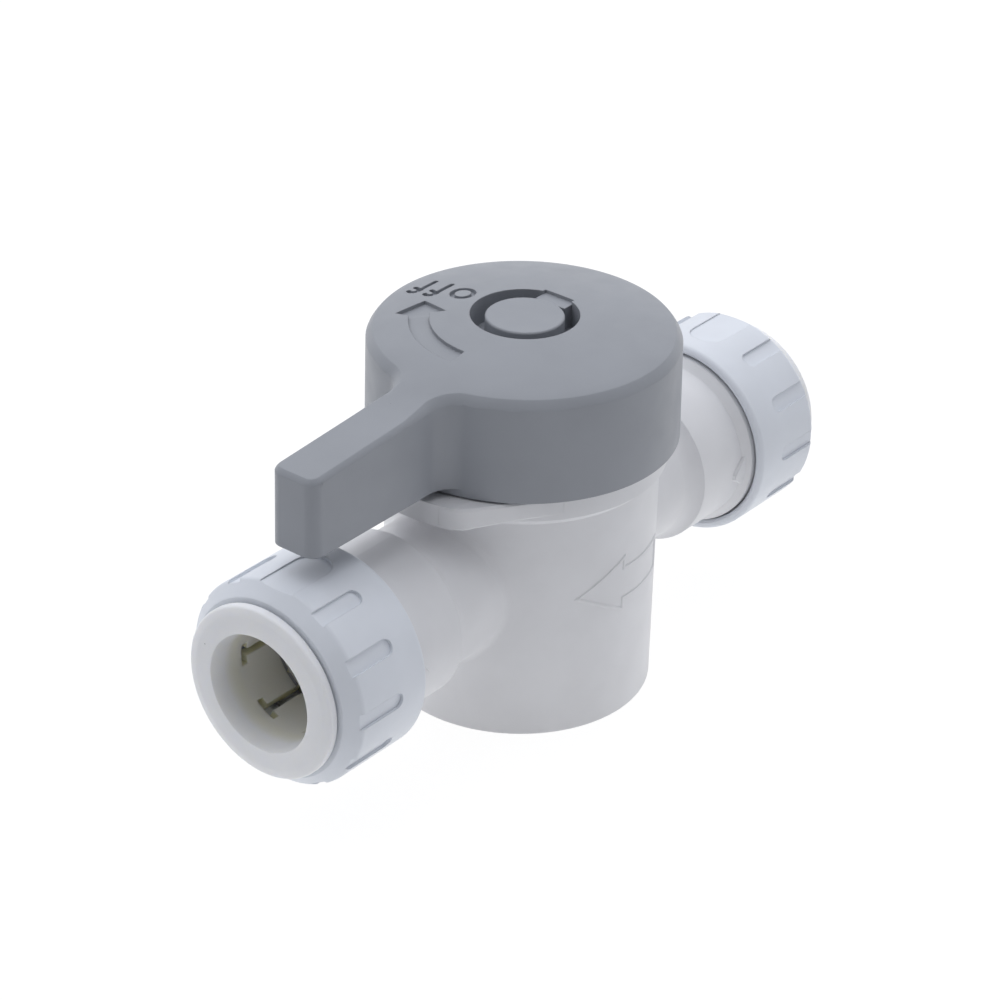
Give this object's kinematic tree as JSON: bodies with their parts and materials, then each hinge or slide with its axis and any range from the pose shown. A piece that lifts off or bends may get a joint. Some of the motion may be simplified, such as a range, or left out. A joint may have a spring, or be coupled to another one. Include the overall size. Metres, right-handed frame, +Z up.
{
  "type": "isolating valve",
  "caption": "White plastic push-fit isolating valve with a quarter-turn grey lever handle, screw-down caps and collets for 15.9 mm tube.",
  "frame": {"origin": "middle of the barrel's flat base", "axes": "+X along the pipe, with the open valve's lever pointing to -X; +Z up the stem axis to the handle"},
  "size_m": [0.1084, 0.0434, 0.0558],
  "materials": {
    "body_plastic": "satin off-white moulded plastic",
    "cap_plastic": "satin cool white moulded plastic",
    "collet_plastic": "satin off-white moulded plastic",
    "handle_plastic": "satin blue-grey moulded plastic",
    "inner_plastic": "plain moulded plastic",
    "seat_plastic": "smooth white seat plastic",
    "ball_brass": "plated and polished",
    "seal_rubber": "moulded black rubber",
    "teeth_steel": "stamped stainless strip"
  },
  "bodies": {
    "valve_body": {"body": "body_plastic", "bonnet": "inner_plastic", "bonnet_seal": "seal_rubber", "near_carrier": "inner_plastic", "far_carrier": "inner_plastic", "near_seat": "seat_plastic", "far_seat": "seat_plastic", "near_port_seal": "seal_rubber", "far_port_seal": "seal_rubber", "near_tube_seal": "seal_rubber", "far_tube_seal": "seal_rubber", "near_washer": "inner_plastic", "far_washer": "inner_plastic"},
    "handle_assembly": {"handle": "handle_plastic", "handle_pin": "handle_plastic", "stem": "inner_plastic", "stem_seal_lower": "seal_rubber", "stem_seal_upper": "seal_rubber", "ball": "ball_brass"},
    "near_cap_body": {"near_cap": "cap_plastic"},
    "far_cap_body": {"far_cap": "cap_plastic"},
    "near_collet_body": {"near_collet": "collet_plastic", "near_collet_teeth": "teeth_steel"},
    "far_collet_body": {"far_collet": "collet_plastic", "far_collet_teeth": "teeth_steel"}
  },
  "joints": [
    {"name": "handle_turn", "type": "hinge", "parent": "valve_body", "child": "handle_assembly", "pos_m": [0, 0, 0.0382], "axis": [0, 0, -1], "range_deg": [0, 90]},
    {"name": "near_cap_turn", "type": "hinge", "parent": "valve_body", "child": "near_cap_body", "pos_m": [-0.045, 0, 0.0212], "axis": [1, 0, 0], "range_deg": [0, 90]},
    {"name": "far_cap_turn", "type": "hinge", "parent": "valve_body", "child": "far_cap_body", "pos_m": [0.045, 0, 0.0212], "axis": [-1, 0, 0], "range_deg": [0, 90]},
    {"name": "near_collet_slide", "type": "slide", "parent": "near_cap_body", "child": "near_collet_body", "axis": [-1, 0, 0], "range_m": [0, 0.0013]},
    {"name": "far_collet_slide", "type": "slide", "parent": "far_cap_body", "child": "far_collet_body", "axis": [1, 0, 0], "range_m": [0, 0.0013]}
  ]
}
